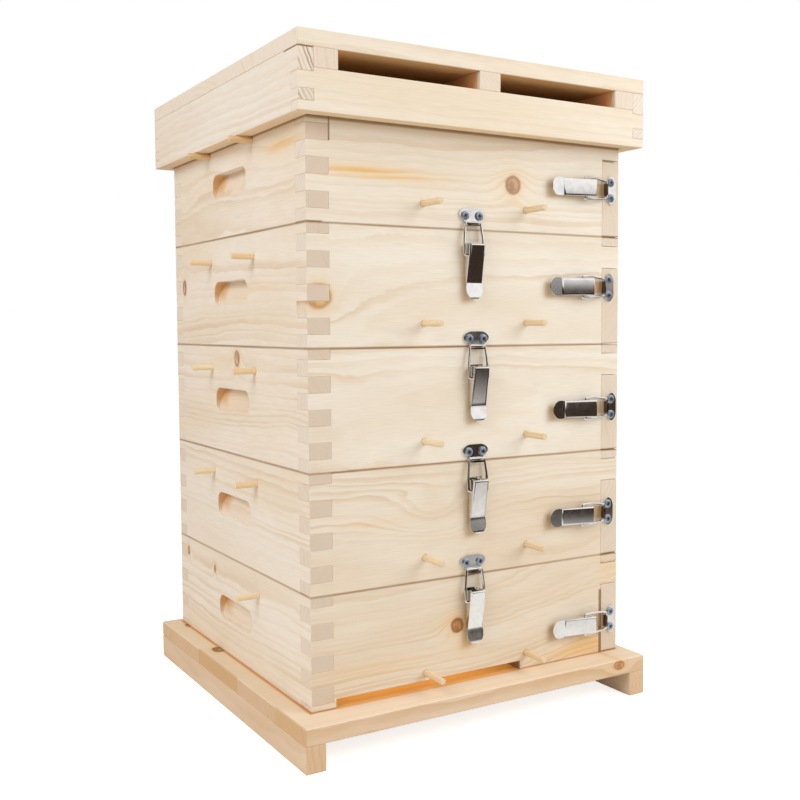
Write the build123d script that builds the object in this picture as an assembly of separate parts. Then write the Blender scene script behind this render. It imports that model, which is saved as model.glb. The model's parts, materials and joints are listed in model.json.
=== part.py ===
from build123d import *
import math
import os

# Stacked box beehive. Five low finger-jointed boxes stand on a plank floor under a ventilated roof cap.
# Front is -Y, the hand-held wall is -X and the wall that opens is +X. All sizes are in millimetres.

# Boxes, counted from the top
box_side = 290.0
box_height = 90.0
wall = 18.0
box_count = 5
entrance_trim = 5.0
lead_tab = 8.0
finger = 12.0
least_finger = 3.0
door_finger = 18.0
door_gap = 0.3

# Bee entrance in the lowest front wall
entrance_height = 7.0
entrance_length = 166.0
entrance_inset = 2.0

# Finger scoop in each left wall
scoop_drop = 36.0
scoop_length = 75.0
scoop_height = 20.0
scoop_depth = 9.0
scoop_foot = 1.8
scoop_corner = 8.5
scoop_shift = 5.0

# Comb dowels, crossing each box at two heights
dowel_d = 5.0
dowel_sides = 12
dowel_fit = 0.05
dowel_spacing = 96.0
dowel_seat = 10.0
dowel_end_gap = 0.3
front_dowel_rise = 18.0
front_dowel_out = 25.0
side_dowel_drop = 19.0
side_dowel_out = 18.5
side_dowel_shift = 1.5

# Floor
runner_height = 20.0
runner_width = 16.0
floor_thick = 13.0
floor_left = 17.0
floor_right = 8.6
floor_front = 26.0
floor_back = 8.5
front_plank = 64.0
back_plank = 109.0

# Roof cap and the slatted cover below it
roof_board = 12.0
roof_side_gap = 0.5
roof_end_gap = 4.5
skirt_dowel_gap = 0.5
batten_width = 19.0
batten_height = 14.0
batten_middle_x = 2.0
skirt_low_tab = 7.0
skirt_side_tab = 8.0
skirt_front_tab = 12.0
cover_frame_thick = 6.0
cover_slat_thick = 8.0
cover_slat_count = 5
cover_slat_gap = 6.0

# Over-centre latches, drawn along the pull
sheet = 1.2
pivot_rise = 6.0
rivet_r = 1.25
pin_sides = 8
hinge_fit = 0.05
link_arm = 6.5
lever_width = 14.0
lever_tilt = 12.5
web_length = 27.0
web_lift = 2.8
flange_r = 3.0
heel = 1.0
flange_belly = 2.6
tab_length = 13.5
tab_width = 15.0
tab_corner = 6.0
tab_flare = 20.0
lever_side_gap = 0.3
base_tail = 23.0
base_nose = 4.0
wire_r = 1.1
wire_bend = 1.2
bail_gap = 0.6
bail_narrow = 7.0
bail_past_lever = 1.0
lip_from_pivot = 16.0
lip_height = 6.5
lip_gap = 0.3
lip_side_gap = 0.9
plate_length = 14.0
plate_width = 25.0
plate_narrow = 10.0
plate_far_width = 16.0
plate_shoulder = 6.0
plate_waist = 9.5
bar_over_plate = 0.4
screw_shank_r = 1.6
screw_fit = 0.1
screw_sides = 10
shank_sides = 4
screw_head_r = 2.9
screw_head_h = 1.3
hook_screw_at = 8.0
hook_screw_spread = 13.0
base_screw_first = 10.5
base_screw_step = 8.0

# Latch places: across the seams, then across the door joint of each box, as set by hand on the hive
seam_latch_x = (-5.0, -1.2, -2.2, -5.0)
seam_latch_lip_rise = (2.8, -2.3, -0.7, 1.9)
door_latch_drop = (51.2, 42.4, 53.4, 53.0, 57.0)
door_latch_edge = (4.0, 6.0, 2.7, 5.5, 2.3)

# Butt hinges behind, one to each door
hinge_leaf = 15.0
hinge_height = 30.0
hinge_barrel_r = 2.4
hinge_pin_r = 1.2
hinge_knuckle_gap = 0.3
hinge_sides = 6

# Worked-out levels and limits
half = box_side / 2
inner = half - wall
stack_base = runner_height + floor_thick
box_heights = [box_height] * (box_count - 1) + [box_height - entrance_trim]
box_tops = [stack_base + sum(box_heights[i:]) for i in range(box_count)]
box_bottoms = [stack_base + sum(box_heights[i + 1:]) for i in range(box_count)]
stack_top = box_tops[0]
front_dowel_drop = box_height - front_dowel_rise
cover_top = stack_top + cover_frame_thick + cover_slat_thick
deck_bottom = cover_top + batten_height
roof_top = deck_bottom + roof_board
skirt_bottom = stack_top - side_dowel_drop + dowel_d / 2 + skirt_dowel_gap
roof_half_x = half + roof_side_gap + roof_board
roof_half_y = half + roof_end_gap + roof_board
floor_x = (-half - floor_left, half + floor_right)
floor_y = (-half - floor_front, half + floor_back)

# The origin lies under the middle of the whole outline
reach_left = max(half + floor_left, half + side_dowel_out, roof_half_x)
reach_right = max(half + floor_right, roof_half_x)
reach_front = max(half + floor_front, half + front_dowel_out, roof_half_y)
reach_back = max(half + floor_back, roof_half_y)
origin_shift = ((reach_left - reach_right) / 2, (reach_front - reach_back) / 2, 0)

nodes = {}


def board(x, y, z):
    """A board between its X, Y and Z limits."""
    size = [limits[1] - limits[0] for limits in (x, y, z)]
    middle = [sum(limits) / 2 for limits in (x, y, z)]
    return Pos(*middle) * Box(*size)


def rod(start, direction, radius, length, sides):
    """A bar from a start point, many-sided instead of round, with its corners on the radius."""
    return extrude(Plane(start, z_dir=direction) * RegularPolygon(radius, sides), amount=length)


def bore(start, direction, radius, length, sides):
    """The cutter for a hole, with its flats on the radius, so that a bar of that radius turns in it."""
    outline = RegularPolygon(radius, sides, major_radius=False)
    return extrude(Plane(start, z_dir=direction) * outline, amount=length)


def dowel(start, direction, length, clearance=0):
    """A comb dowel, or the hole that a dowel slides in."""
    return bore(start, direction, dowel_d / 2 + clearance, length, dowel_sides)


def left_wall_tabs(top, bottom):
    """Heights at which the left wall's fingers reach through the corner, from the top down."""
    tabs = [(top - lead_tab, top)]
    high = top - lead_tab - finger
    while high - bottom > least_finger:
        tabs.append((max(high - finger, bottom), high))
        high -= 2 * finger
    return tabs


def gaps_between(tabs, bottom):
    """Heights left for the other wall between a wall's fingers."""
    lows = [tab[0] for tab in tabs]
    highs = [tab[1] for tab in tabs[1:]] + [bottom]
    return [(high, low) for low, high in zip(lows, highs) if low - high > 0]


def dowel_places(shift):
    """The two dowels of a wall, either side of its middle."""
    return (shift - dowel_spacing / 2, shift + dowel_spacing / 2)


def scoop(top):
    """A routed finger hold with round corners, deep under its upper edge and shallow at its foot."""
    high = top - scoop_drop
    low = high - scoop_height
    face = Plane((-half, scoop_shift, (high + low) / 2), x_dir=(0, 1, 0), z_dir=(1, 0, 0))
    outline = RectangleRounded(scoop_length, scoop_height, scoop_corner)
    pocket = extrude(face * outline, amount=scoop_depth)
    section = Polyline((-half, low), (-half, high), (-half + scoop_depth, high), (-half + scoop_foot, low),
                       close=True)
    start = Plane((0, scoop_shift + scoop_length / 2, 0), x_dir=(1, 0, 0), z_dir=(0, -1, 0))
    ramp = extrude(start * make_face(section), amount=scoop_length)
    return pocket & ramp


def make_box(index):
    """The four walls and four dowels of one box."""
    name = f"box_{index + 1}"
    top = box_tops[index]
    bottom = box_bottoms[index]
    left_tabs = left_wall_tabs(top, bottom)
    front_tabs = gaps_between(left_tabs, bottom)
    finger_limits = (top - lead_tab - door_finger, top - lead_tab)
    front_z = top - front_dowel_drop
    side_z = top - side_dowel_drop
    front_y = (-half, -inner)
    back_y = (inner, half)
    left_x = (-half, -inner)
    right_x = (inner, half)

    front_cuts = [board(left_x, front_y, tab) for tab in left_tabs]
    front_cuts += [board(right_x, front_y, (finger_limits[1], top))]
    front_cuts += [board(right_x, front_y, (bottom, finger_limits[0]))]
    front_cuts += [dowel((x, -half, front_z), (0, 1, 0), wall, dowel_fit) for x in dowel_places(0)]
    if index == box_count - 1:
        start = -inner + entrance_inset
        front_cuts += [board((start, start + entrance_length), front_y, (bottom, bottom + entrance_height))]
    nodes[name + "_front_wall"] = board((-half, half), front_y, (bottom, top)) - front_cuts

    back_cuts = [board(left_x, back_y, tab) for tab in left_tabs]
    back_cuts += [dowel((x, inner, front_z), (0, 1, 0), dowel_seat, dowel_fit) for x in dowel_places(0)]
    nodes[name + "_back_wall"] = board((-half, inner), back_y, (bottom, top)) - back_cuts

    left_cuts = [board(left_x, end_y, tab) for tab in front_tabs for end_y in (front_y, back_y)]
    left_cuts += [dowel((-half, y, side_z), (1, 0, 0), wall, dowel_fit)
                  for y in dowel_places(side_dowel_shift)]
    left_cuts += [scoop(top)]
    nodes[name + "_left_wall"] = board(left_x, (-half, half), (bottom, top)) - left_cuts

    notch = (finger_limits[0] - door_gap, finger_limits[1] + door_gap)
    door_cuts = [board(right_x, (-half, -inner + door_gap), notch)]
    door_cuts += [dowel((inner, y, side_z), (1, 0, 0), dowel_seat, dowel_fit)
                  for y in dowel_places(side_dowel_shift)]
    nodes[name + "_door"] = board(right_x, (-half, half), (bottom + door_gap, top - door_gap)) - door_cuts

    dowel_reach = 2 * inner + wall + dowel_seat - dowel_end_gap
    front_length = front_dowel_out + dowel_reach
    nodes[name + "_front_dowels"] = Compound([
        dowel((x, -half - front_dowel_out, front_z), (0, 1, 0), front_length).solid()
        for x in dowel_places(0)])
    # The rear dowel of the lowest box is driven in flush with the wall
    outs = (side_dowel_out, 0 if index == box_count - 1 else side_dowel_out)
    nodes[name + "_side_dowels"] = Compound([
        dowel((-half - out, y, side_z), (1, 0, 0), out + dowel_reach).solid()
        for out, y in zip(outs, dowel_places(side_dowel_shift))])


def make_floor():
    """Three planks side by side on two runners."""
    joints = (floor_y[0], floor_y[0] + front_plank, floor_y[1] - back_plank, floor_y[1])
    nodes["floor_planks"] = Compound([
        board(floor_x, (near, far), (runner_height, stack_base)).solid()
        for near, far in zip(joints, joints[1:])])
    nodes["floor_runners"] = Compound([
        board(x, floor_y, (0, runner_height)).solid()
        for x in ((floor_x[0], floor_x[0] + runner_width), (floor_x[1] - runner_width, floor_x[1]))])


def make_cover():
    """A slatted inner cover: a thin frame on the top box, with slats across it."""
    slat_base = stack_top + cover_frame_thick
    frame_z = (stack_top, slat_base)
    strips = [board((-half, half), y, frame_z) for y in ((-half, -inner), (inner, half))]
    strips += [board(x, (-inner, inner), frame_z) for x in ((-half, -inner), (inner, half))]
    width = (box_side - (cover_slat_count - 1) * cover_slat_gap) / cover_slat_count
    for i in range(cover_slat_count):
        near = -half + i * (width + cover_slat_gap)
        strips.append(board((-half, half), (near, near + width), (slat_base, cover_top)))
    nodes["inner_cover"] = Compound([strip.solid() for strip in strips])


def make_roof():
    """A cap of thin boards: deck, finger-jointed skirt, and battens that leave air slots front and back."""
    x_limits = (-roof_half_x, roof_half_x)
    y_limits = (-roof_half_y, roof_half_y)
    inner_x = roof_half_x - roof_board
    inner_y = roof_half_y - roof_board
    side_low = skirt_bottom + skirt_low_tab
    front_low = side_low + skirt_side_tab
    side_high = front_low + skirt_front_tab
    front_tabs = ((skirt_bottom, side_low), (front_low, side_high))
    side_tabs = ((side_low, front_low), (side_high, deck_bottom))
    ends_x = ((-roof_half_x, -inner_x), (inner_x, roof_half_x))
    ends_y = ((-roof_half_y, -inner_y), (inner_y, roof_half_y))

    nodes["roof_deck"] = board(x_limits, y_limits, (deck_bottom, roof_top))
    for name, y in zip(("roof_front_board", "roof_back_board"), ends_y):
        cuts = [board(x, y, tab) for x in ends_x for tab in side_tabs]
        nodes[name] = board(x_limits, y, (skirt_bottom, cover_top)) - cuts
    sides = []
    for x in ends_x:
        cuts = [board(x, y, tab) for y in ends_y for tab in front_tabs]
        sides.append((board(x, y_limits, (skirt_bottom, deck_bottom)) - cuts).solid())
    nodes["roof_side_boards"] = Compound(sides)
    middles = (-inner_x + batten_width / 2, batten_middle_x, inner_x - batten_width / 2)
    nodes["roof_battens"] = Compound([
        board((x - batten_width / 2, x + batten_width / 2), y_limits, (cover_top, deck_bottom)).solid()
        for x in middles])


# Latch pieces are drawn with X along the pull, towards the hook, Y out of the wall and Z across.
# Their origin is on the wall face under the lever's pivot.
lever_half = lever_width / 2
ear_out = lever_half - sheet - lever_side_gap
ear_r = web_lift - lever_side_gap
link_x = -link_arm * math.cos(math.radians(lever_tilt))
link_y = pivot_rise - link_arm * math.sin(math.radians(lever_tilt))
bar_x = lip_from_pivot + sheet + lip_gap + wire_r
bar_y = sheet + bar_over_plate + wire_r
bail_length = math.hypot(bar_x - link_x, bar_y - link_y)
bail_slope = math.degrees(math.atan2(bar_y - link_y, bar_x - link_x))
bail_wide = lever_half + bail_gap + wire_bend


def latch_base():
    """A plate screwed to the wall, with two ears for the lever's rivet."""
    plate = board((-base_tail, base_nose), (0, sheet), (-ear_out, ear_out))
    plate = chamfer(plate.edges().filter_by(Axis.Y).group_by(Axis.X)[0], ear_out / 2)
    round_end = RegularPolygon(ear_r, pin_sides, major_radius=False, rotation=180 / pin_sides)
    ear = Pos(0, pivot_rise / 2) * Rectangle(2 * ear_r, pivot_rise) + Pos(0, pivot_rise) * round_end
    for low in (-ear_out, ear_out - sheet):
        plate += extrude(Pos(0, 0, low) * ear, amount=sheet)
    plate -= bore((0, pivot_rise, -ear_out), (0, 0, 1), rivet_r + hinge_fit, 2 * ear_out, pin_sides)
    plate -= [screw_hole(x, 0) for x in base_screw_places()]
    return plate


def screw_hole(x, z):
    """The hole in the sheet for one screw's shank."""
    return bore((x, 0, z), (0, 1, 0), screw_shank_r + screw_fit, sheet, shank_sides)


def base_screw_places():
    """The two screws of a base plate, under the lever."""
    return (-base_screw_first, -base_screw_first - base_screw_step)


def latch_lever():
    """A pressed channel with tapering flanges and a flared finger tab, turned to its closed slope."""
    web_top = web_lift + sheet
    low = flange_r * math.sin(math.radians(45))
    outline = Polyline((flange_r, 0), (flange_r, web_top), (-web_length, web_top),
                       (-web_length, web_lift - heel), (-link_arm, -flange_belly), (0, -flange_r),
                       (low, -low), close=True)
    flange = make_face(outline)
    channel = board((-web_length, flange_r), (web_lift, web_top), (-lever_half, lever_half))
    for near in (-lever_half, lever_half - sheet):
        channel += extrude(Pos(0, 0, near) * flange, amount=sheet, dir=(0, 0, 1))
    flare = math.radians(tab_flare)
    along = (math.cos(flare), -math.sin(flare), 0)
    outward = (math.sin(flare), math.cos(flare), 0)
    tab = Rectangle(tab_length + sheet, tab_width, align=(Align.MAX, Align.CENTER))
    tab = chamfer(tab.vertices().group_by(Axis.X)[0], tab_corner)
    seat = Plane((-web_length + sheet, web_lift, 0), x_dir=along, z_dir=outward)
    channel += extrude(seat * tab, amount=sheet)
    channel -= bore((0, 0, -lever_half), (0, 0, 1), rivet_r + hinge_fit, lever_width, pin_sides)
    channel -= bore((-link_arm, 0, -lever_half), (0, 0, 1), wire_r + hinge_fit, lever_width, pin_sides)
    return Pos(0, pivot_rise, 0) * Rot(0, 0, lever_tilt) * channel


def latch_bail():
    """A bent wire loop: two ends hooked into the lever, sides drawn in to a bar behind the lip."""
    end_z = lever_half - sheet - sheet / 2
    wide_to = link_arm + flange_r + bail_past_lever
    corner = wire_bend
    lean = corner * (bail_wide - bail_narrow) / (bail_length - wide_to)
    one_side = [(0, end_z), (0, bail_wide - corner), (corner, bail_wide), (wide_to, bail_wide),
                (bail_length - corner, bail_narrow + lean), (bail_length, bail_narrow - corner)]
    other_side = [(x, -z) for x, z in reversed(one_side)]
    path = Polyline([(x, 0, z) for x, z in one_side + other_side])
    section = Plane((0, 0, end_z), z_dir=(0, 0, 1)) * RegularPolygon(wire_r, pin_sides)
    wire = sweep(section, path=path, transition=Transition.RIGHT)
    return Pos(link_x, link_y, 0) * Rot(0, 0, bail_slope) * wire


def latch_hook():
    """A catch plate with rounded shoulders and an upright lip that the bail's bar sits behind."""
    near = lip_from_pivot
    half_outline = [(near, plate_narrow / 2), (near + plate_shoulder, plate_width / 2),
                    (near + plate_waist, plate_width / 2), (near + plate_length, plate_far_width / 2)]
    points = half_outline + [(x, -z) for x, z in reversed(half_outline)]
    wall_face = Plane((0, 0, 0), x_dir=(1, 0, 0), z_dir=(0, 1, 0))
    plate = extrude(wall_face * make_face(Polyline(points, close=True)), amount=sheet)
    lip_half = bail_narrow - wire_r - lip_side_gap
    plate += board((near, near + sheet), (0, lip_height), (-lip_half, lip_half))
    plate -= [screw_hole(x, z) for x, z in hook_screw_places()]
    return plate


def hook_screw_places():
    """The two screws of a hook plate, side by side across its shoulders."""
    x = lip_from_pivot + hook_screw_at
    return ((x, -hook_screw_spread / 2), (x, hook_screw_spread / 2))


def latch_screw(x, z):
    """A pan-head screw seen above the sheet, with the shank that fills the sheet's hole."""
    shank = bore((x, 0, z), (0, 1, 0), screw_shank_r, sheet, shank_sides)
    return shank + rod((x, sheet, z), (0, 1, 0), screw_head_r, screw_head_h, screw_sides)


def latch_planes():
    """Where each latch sits: first across the seams, then across the door joints."""
    planes = {}
    for i, (x, rise) in enumerate(zip(seam_latch_x, seam_latch_lip_rise)):
        pivot_z = box_bottoms[i] + rise - lip_from_pivot
        planes[f"seam_latch_{i + 1}"] = Plane((x, -half, pivot_z), x_dir=(0, 0, 1), z_dir=(1, 0, 0))
    for i, (drop, edge) in enumerate(zip(door_latch_drop, door_latch_edge)):
        pivot_x = half - edge - plate_length - lip_from_pivot
        place = (pivot_x, -half, box_tops[i] - drop)
        planes[f"door_latch_{i + 1}"] = Plane(place, x_dir=(1, 0, 0), z_dir=(0, 0, -1))
    return planes


def make_latches():
    """Nine latches alike: levers and bails move, so each has its own node."""
    base = latch_base()
    lever = latch_lever()
    bail = latch_bail()
    hook = latch_hook()
    rivet = rod((0, pivot_rise, -lever_half), (0, 0, 1), rivet_r, lever_width, pin_sides)
    screws = [latch_screw(x, 0) for x in base_screw_places()]
    screws += [latch_screw(x, z) for x, z in hook_screw_places()]
    bases = []
    hooks = []
    fasteners = []
    for name, plane in latch_planes().items():
        nodes[name + "_lever"] = plane * lever
        nodes[name + "_bail"] = plane * bail
        bases.append((plane * base).solid())
        hooks.append((plane * hook).solid())
        fasteners += [(plane * piece).solid() for piece in [rivet] + screws]
    nodes["latch_base_plates"] = Compound(bases)
    nodes["latch_hook_plates"] = Compound(hooks)
    nodes["latch_fasteners"] = Compound(fasteners)


def make_hinges():
    """A butt hinge behind each door: two leaves with knuckles on one pin."""
    pieces = []
    axis_y = half + hinge_barrel_r
    for top, bottom in zip(box_tops, box_bottoms):
        middle = (top + bottom) / 2
        low = middle - hinge_height / 2
        knuckle = hinge_height / 3
        pin_hole = bore((inner, axis_y, low), (0, 0, 1), hinge_pin_r + hinge_fit, hinge_height, hinge_sides)
        for side, spans in ((-1, ((0, 1), (2, 3))), (1, ((1, 2),))):
            leaf_x = sorted((inner + side * hinge_barrel_r, inner + side * hinge_leaf))
            web_x = sorted((inner, inner + side * hinge_barrel_r))
            leaf = board(leaf_x, (half, half + sheet), (low, low + hinge_height))
            for start, end in spans:
                span_low = low + start * knuckle + hinge_knuckle_gap / 2
                span_high = low + end * knuckle - hinge_knuckle_gap / 2
                leaf += board(web_x, (half, half + sheet), (span_low, span_high))
                barrel_start = (inner, axis_y, span_low)
                leaf += bore(barrel_start, (0, 0, 1), hinge_barrel_r, span_high - span_low, hinge_sides)
            pieces.append((leaf - pin_hole).solid())
        pieces.append(rod((inner, axis_y, low), (0, 0, 1), hinge_pin_r, hinge_height, hinge_sides).solid())
    nodes["door_hinges"] = Compound(pieces)


for box_index in range(box_count):
    make_box(box_index)
make_floor()
make_cover()
make_roof()
make_latches()
make_hinges()

os.makedirs("parts", exist_ok=True)
for node_name, shape in nodes.items():
    export_step(Pos(*origin_shift) * shape, f"parts/{node_name}.step")
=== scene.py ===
import json
from math import atan2, cos, radians, sin

import bmesh
import bpy
from mathutils import Euler, Matrix, Vector


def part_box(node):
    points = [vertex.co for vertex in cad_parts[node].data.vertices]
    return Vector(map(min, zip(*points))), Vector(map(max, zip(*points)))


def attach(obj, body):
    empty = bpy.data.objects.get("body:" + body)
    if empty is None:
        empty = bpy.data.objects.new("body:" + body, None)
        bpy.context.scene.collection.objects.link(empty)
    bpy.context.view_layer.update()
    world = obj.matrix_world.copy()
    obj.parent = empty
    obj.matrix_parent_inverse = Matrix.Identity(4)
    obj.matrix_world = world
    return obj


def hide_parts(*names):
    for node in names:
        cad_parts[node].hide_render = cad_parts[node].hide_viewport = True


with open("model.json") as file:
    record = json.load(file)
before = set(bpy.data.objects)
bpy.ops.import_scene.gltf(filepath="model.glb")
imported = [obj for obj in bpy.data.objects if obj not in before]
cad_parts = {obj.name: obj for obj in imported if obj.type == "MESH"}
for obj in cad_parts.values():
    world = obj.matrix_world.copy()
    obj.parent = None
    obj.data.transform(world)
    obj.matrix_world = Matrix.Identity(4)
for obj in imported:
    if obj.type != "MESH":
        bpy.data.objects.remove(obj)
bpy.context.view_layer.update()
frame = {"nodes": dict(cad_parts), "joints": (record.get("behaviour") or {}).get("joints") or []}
nodes = frame["nodes"]
MM = 0.001

# Camera fitted to the photograph, an 800 by 800 frame
CAMERA_PLACE = Vector((-0.46124, -0.83037, 0.31411))
CAMERA_AZIMUTH = 31.72
CAMERA_DOWN = 3.53
CAMERA_ROLL = -0.27
FOCAL_PX = 1060.8
CENTRE_PX = (436.03, 391.12)
FRAME_PX = 800


def timber(pale, warm, late, end, end_late=None, end_rings=0.45):
    """Colours of a wood: two tones of early wood, late wood, end grain and the rings in it."""
    return {"Pale": pale, "Warm": warm, "Late": late, "End_Colour": end, "End_Late": end_late or late,
            "End_Rings": end_rings}


# Colours as the woods and metals show them in plain light, except those marked below as painted shade,
# painted shadow, painted glow or painted light
UPPER_PINE = timber((0.885, 0.83, 0.715), (0.84, 0.76, 0.625), (0.73, 0.57, 0.375), (0.82, 0.735, 0.63))
LOWER_PINE = timber((0.85, 0.77, 0.64), (0.795, 0.675, 0.51), (0.68, 0.5, 0.3), (0.8, 0.7, 0.585))
LEFT_PINE = timber((0.905, 0.83, 0.72), (0.865, 0.755, 0.595), (0.73, 0.55, 0.355), (0.71, 0.605, 0.49))
DOOR_END = {"End_Colour": (0.76, 0.66, 0.54)}
ROOF_PINE = timber((0.89, 0.815, 0.685), (0.855, 0.75, 0.58), (0.75, 0.59, 0.4), (0.85, 0.765, 0.65))
ROOF_SIDE_PINE = timber((0.9, 0.835, 0.735), (0.865, 0.775, 0.645), (0.76, 0.61, 0.44), (0.85, 0.765, 0.65),
                        (0.36, 0.23, 0.11), 1.7)
BATTEN_PINE = ROOF_PINE | {"End_Colour": (0.83, 0.72, 0.6)}
# Painted shade on the top of the slatted cover, dark where it shows through the roof's slots
COVER_TOP_SHADE = (0.46, 0.26, 0.1)
FLOOR_PINE = timber((0.8, 0.625, 0.445), (0.745, 0.525, 0.315), (0.6, 0.35, 0.15), (0.74, 0.53, 0.34))
# Dowel wood in three copies: the side dowels' copy is lighter, painted light, and box 1's side dowels under
# the roof take a darker copy, painted shade
FRONT_DOWEL = timber((0.84, 0.68, 0.46), (0.8, 0.61, 0.37), (0.72, 0.5, 0.26), (0.8, 0.66, 0.45))
SHADED_DOWEL = timber((0.82, 0.58, 0.32), (0.77, 0.5, 0.24), (0.66, 0.4, 0.17), (0.8, 0.58, 0.34))
LIT_SIDE_DOWEL = timber((0.94, 0.79, 0.54), (0.9, 0.7, 0.43), (0.8, 0.57, 0.3), (0.88, 0.72, 0.48))
PINK_KNOT = ((0.6, 0.37, 0.24), (0.33, 0.19, 0.12))
ORANGE_KNOT = ((0.55, 0.23, 0.065), (0.2, 0.07, 0.02))
RINGED_KNOT = ((0.72, 0.49, 0.33), (0.27, 0.15, 0.08))
RED_KNOT = ((0.64, 0.36, 0.15), (0.38, 0.15, 0.05))
AMBER_KNOT = ((0.76, 0.49, 0.21), (0.5, 0.25, 0.08))
RESIN_STREAK = (0.84, 0.54, 0.2)
FLOOR_TOP = (0.92, 0.79, 0.61)
# Painted glow: the floor inside the entrance slot is bright orange, standing in for light bounced inside the
# slot
ENTRANCE_PAINTED_GLOW = (0.98, 0.6, 0.19)
# Painted shade under the roof deck and painted glow of bounced light on the battens, both seen in the roof's
# slots
SLOT_SHADE = (0.76, 0.45, 0.18)
BATTEN_SLOT_GLOW = (0.98, 0.5, 0.19)
# Painted warm shade in the hand holds
POCKET_WARM_SHADE = (0.8, 0.58, 0.38)
POCKET_END_SHADE = (0.7, 0.4, 0.14)
# Dark open joints, also used as painted shade at the end of the entrance slot
OPEN_JOINT_AND_SHADE = (0.28, 0.155, 0.065)
SEAM_SHADE = (0.36, 0.2, 0.085)
# Painted shade on the undersides of the roof's front and side boards
SKIRT_UNDERSIDE_SHADE = (0.85, 0.65, 0.41)
# Painted shadow under the roof's skirt: a warm tone and a dark line
SKIRT_WARM_SHADOW = (0.78, 0.54, 0.28)
SKIRT_SHADE_LINE = (0.4, 0.22, 0.085)
GOLD_EDGE = (0.66, 0.41, 0.17)
# Painted shade on the floor along the foot of the walls
FOOT_SHADE_LINE = (0.82, 0.36, 0.08)
# Painted warm shadow around the latches on the front walls
LATCH_WARM_SHADOW = (0.62, 0.4, 0.17)
NICKEL = (0.89, 0.87, 0.84)
ZINC = (0.5, 0.58, 0.68)
# Painted dark reflection on the hooks' lips
LIP_REFLECTION_DARK = (0.15, 0.11, 0.085)
STEEL = (0.66, 0.65, 0.62)
DIM_ROOM = (0.04, 0.026, 0.02)
AMBIENT = (0.56, 0.465, 0.38)
LAMP_WHITE = (0.92, 1.0, 1.1)
LAMP_WARM = (1.0, 0.75, 0.45)
WHITE = (1, 1, 1)
PAPER = (0.8, 0.79, 0.77)
POOL_WHITE = (0.92, 0.9, 0.88)

# Studio: floor in metres, where light starts and is full, and each lamp's place, aim, size, watts and colour
FLOOR_R = 6
FLOOR_SIDES = 64
FLOOR_GLOW = 0.75
BRIGHT_POOL = (0.25, 1.15)
ROOM_LIGHT_UP = (0.0, 0.12)
ROOM_LIGHT_RIGHT = (-0.3, 0.1)
HIVE_MIDDLE = (0, 0, 0.25)
LAMPS = {
    "key_light": ((0.8, -0.95, 0.85), HIVE_MIDDLE, (0.9, 0.9), 9.1, LAMP_WHITE),
    "left_light": ((-1.7, -0.5, 1.5), HIVE_MIDDLE, (1.3, 1.3), 21, LAMP_WHITE),
    "entrance_light": ((-0.04, -0.07, 0.075), (-0.04, -0.135, 0.033), (0.15, 0.03), 0.06, LAMP_WARM),
}

# Patterns of wood and plate, in features to the metre: wood's go along, across and through a board
GRAIN_DRIFT = (4.5, 11, 11)
GRAIN_RIPPLE = (22, 70, 70)
GRAIN_PATCHES = (7, 30, 30)
GRAIN_TONE = (5, 24, 24)
GRAIN_FIBRE = (60, 1500, 1500)
RAGGED_EDGE = (150, 150, 150)
KNOT_MOTTLE = (140, 140, 140)
METAL_SMUDGES = (170, 170, 170)
METAL_LINES = (2600, 2600, 300)
SEED_APART = (0.37, 0.71, 0.53)

# Rings: how unevenly the years pass, and when in a year late wood comes and ends
UNEVEN_PACE = 0.45
UNEVEN_SHIFT = 1.6
LATE_RISE = (0.25, 0.86)
LATE_FALL = (0.9, 1.0, 1.0, 0.0)

# Spots, in their own radii: the fall of the swell, the disc's soft edge, and the rim's place and fall
SWELL_NARROWING = 0.42
DISC_EDGE = (0.8, 1.1, 1.0, 0.0)
RIM_AT = 0.95
RIM_NARROWING = 5.0

# Curves: the range of a pattern, then the values it gives at both ends where they aren't 0 and 1
YEAR_STRENGTH = (0.0, 1.0, 0.25, 1.0)
PATCH_STRENGTH = (0.3, 0.7, 0.35, 1.0)
END_FACING = (0.6, 0.85)
WARM_TONE = (0.32, 0.72)
FIBRE_SHADE = (0.2, 0.8, 0.955, 1.035)
FIBRE_ROUGHNESS = (0.2, 0.8, 0.5, 0.66)
STAIN_IN_RINGS = (0.03, 0.4, 0.5, 1.0)
KNOT_SPECKLE = (0.4, 0.62)
KNOT_UNEVEN = (0.3, 0.7, 1.0, 0.8)
SEAM_UNEVEN = (0.3, 0.6, 0.95, 0.5)
SMUDGE_SHADE = (0.3, 0.75, 1.02, 0.95)
SMUDGE_ROUGHNESS = (0.35, 0.8, -0.02, 0.05)
LINE_SHADE = (0.3, 0.7, -0.025, 0.025)

# Shares of a colour or mask, and a few depths in millimetres
LATE_SHARE = 0.62
END_ROUGHER = 0.15
RING_HEIGHT = 0.6
FIBRE_HEIGHT = 0.5
RAGGEDNESS = 0.35
STAIN_FADE = 3.0
HALO_FADE = 4.0
HALO_SHARE = 0.75
MOTTLE_SHARE = 0.7
RIM_SHARE = 0.7
WOOD_SHINE = 0.28
GRAIN_RELIEF = 0.25
PLATE_RELIEF = 0.02
RELIEF_STRENGTH = 0.6
SEAM_SOFT = 1.4
SEAM_FULL = 0.45
LIP_FADE = 0.6

# Edges: how close counts as touching and how much is rounded, in millimetres, and from which angle
TOUCH = 0.01
FLAT_WITHIN = 1
SANDED_FROM = 40
EDGE_DULLING = 0.18
DULLED_FROM = 50
SMOOTH_WITHIN = 38

# How a board's own axes lie: along the grain, across its width, through its thickness
ALONG_X = Matrix(((1, 0, 0), (0, 0, 1), (0, -1, 0)))
ALONG_Y = Matrix(((0, 1, 0), (0, 0, 1), (1, 0, 0)))
FLAT_X = Matrix.Identity(3)


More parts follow.
